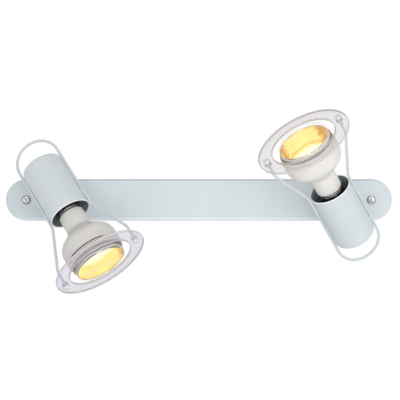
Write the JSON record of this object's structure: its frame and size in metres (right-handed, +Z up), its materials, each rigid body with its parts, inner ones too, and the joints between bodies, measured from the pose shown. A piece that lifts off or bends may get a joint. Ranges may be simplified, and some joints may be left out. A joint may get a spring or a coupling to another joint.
{
  "type": "pivoting spotlight wall light",
  "caption": "Wall bar with round ends and pivoting can spotlights, each with a bent wire frame, a clear anti-glare ring and a reflector lamp.",
  "frame": {"origin": "centre of the bar's back, on the wall", "axes": "+X along the bar to the right as seen from the room, +Y into the wall, +Z up"},
  "size_m": [0.56, 0.2073, 0.2539],
  "materials": {
    "painted_steel": "satin stoved paint, pale blue-grey white",
    "zinc_steel": "zinc plated",
    "nickel_screw": "nickel plated",
    "rubber": "matt",
    "white_nylon": "moulded",
    "brass": "bright",
    "wire_sleeve": "heat-proof sleeve",
    "black_holder": "moulded thermoset",
    "clear_acrylic": "clear, polished edges",
    "clear_vinyl": "soft and milky",
    "black_glass": "vitreous plug with a solder contact",
    "white_enamel": "smooth enamelled coating",
    "lamp_glass": "clear front, silvered side",
    "tungsten": "glowing coil"
  },
  "bodies": {
    "root": {"bar_cover": "painted_steel", "wall_strap": "zinc_steel", "cover_posts": "zinc_steel", "cover_screws": "nickel_screw", "cable_grommet": "rubber", "terminal_block": "white_nylon", "terminal_tubes": "brass", "terminal_screws": "zinc_steel", "earth_screw": "brass", "bar_leads": "wire_sleeve"},
    "left_arm": {"left_arm": "painted_steel", "left_pan_washer": "white_nylon", "left_spring_washer": "zinc_steel", "left_stop_washer": "zinc_steel", "left_lock_nut": "zinc_steel", "left_tilt_screw": "nickel_screw", "left_tilt_nut": "nickel_screw"},
    "left_head": {"left_knuckle": "painted_steel", "left_can": "painted_steel", "left_can_nut": "zinc_steel", "left_holder_bracket": "zinc_steel", "left_holder_body": "black_holder", "left_holder_shell": "brass", "left_holder_contact": "brass", "left_holder_screws": "zinc_steel", "left_head_leads": "wire_sleeve", "left_wire_frame": "painted_steel", "left_clear_ring": "clear_acrylic", "left_ring_grommets": "clear_vinyl"},
    "left_lamp": {"left_lamp_cap": "nickel_screw", "left_cap_contact": "black_glass", "left_lamp_shell": "white_enamel", "left_lamp_glass": "lamp_glass", "left_lamp_stem": "lamp_glass", "left_filament": "tungsten"},
    "right_arm": {"right_arm": "painted_steel", "right_pan_washer": "white_nylon", "right_spring_washer": "zinc_steel", "right_stop_washer": "zinc_steel", "right_lock_nut": "zinc_steel", "right_tilt_screw": "nickel_screw", "right_tilt_nut": "nickel_screw"},
    "right_head": {"right_knuckle": "painted_steel", "right_can": "painted_steel", "right_can_nut": "zinc_steel", "right_holder_bracket": "zinc_steel", "right_holder_body": "black_holder", "right_holder_shell": "brass", "right_holder_contact": "brass", "right_holder_screws": "zinc_steel", "right_head_leads": "wire_sleeve", "right_wire_frame": "painted_steel", "right_clear_ring": "clear_acrylic", "right_ring_grommets": "clear_vinyl"},
    "right_lamp": {"right_lamp_cap": "nickel_screw", "right_cap_contact": "black_glass", "right_lamp_shell": "white_enamel", "right_lamp_glass": "lamp_glass", "right_lamp_stem": "lamp_glass", "right_filament": "tungsten"}
  },
  "joints": [
    {"name": "left_swivel", "type": "hinge", "parent": "root", "child": "left_arm", "pos_m": [-0.19, -0.02, 0], "axis": [0, -1, 0], "range_deg": [-114, 226]},
    {"name": "left_tilt", "type": "hinge", "parent": "left_arm", "child": "left_head", "pos_m": [-0.19, -0.044, 0], "axis": [-0.829, 0, -0.5592], "range_deg": [-24, 16]},
    {"name": "left_lamp_screw", "type": "hinge", "parent": "left_head", "child": "left_lamp", "pos_m": [-0.17696, -0.10473, -0.01933], "axis": [0.5108, -0.4067, -0.7574], "range_deg": [0, 360]},
    {"name": "right_swivel", "type": "hinge", "parent": "root", "child": "right_arm", "pos_m": [0.19, -0.02, 0], "axis": [0, -1, 0], "range_deg": [-112, 228]},
    {"name": "right_tilt", "type": "hinge", "parent": "right_arm", "child": "right_head", "pos_m": [0.19, -0.044, 0], "axis": [0.848, 0, 0.5299], "range_deg": [-29, 11]},
    {"name": "right_lamp_screw", "type": "hinge", "parent": "right_head", "child": "right_lamp", "pos_m": [0.1805, -0.10653, 0.01521], "axis": [-0.4635, -0.4848, 0.7417], "range_deg": [0, 360]}
  ]
}
